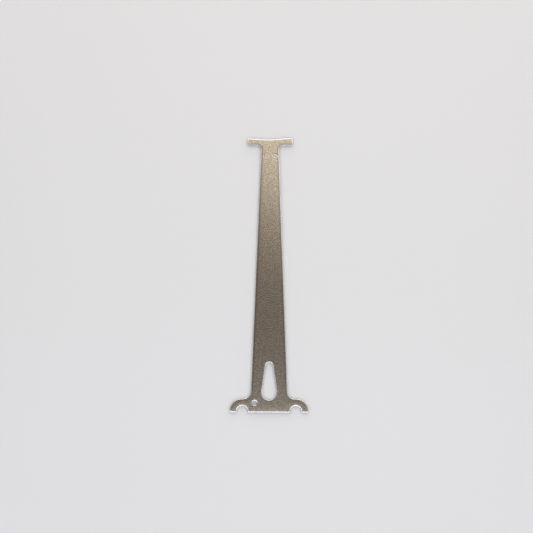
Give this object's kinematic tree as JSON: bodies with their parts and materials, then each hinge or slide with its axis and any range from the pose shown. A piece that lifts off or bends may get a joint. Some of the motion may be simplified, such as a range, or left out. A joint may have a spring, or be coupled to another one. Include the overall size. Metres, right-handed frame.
{
  "type": "chain wear gauge",
  "caption": "Flat steel drop-in gauge for bicycle chain wear: tapered blade, cross bar with measuring tips, hooked base with round notches, tear-drop slot and small hole.",
  "frame": {"origin": "centre of the plate's outline, on its back face", "axes": "+Y along the blade from the hooked base to the cross bar, +Z out of the front face, +X to the right seen from the front"},
  "size_m": [0.0456, 0.161, 0.002],
  "materials": {
    "nickel_steel": "tumbled nickel plate: warm grey, matt and finely mottled, with bright rounded edges"
  },
  "bodies": {
    "root": {"gauge_plate": "nickel_steel"}
  },
  "joints": []
}
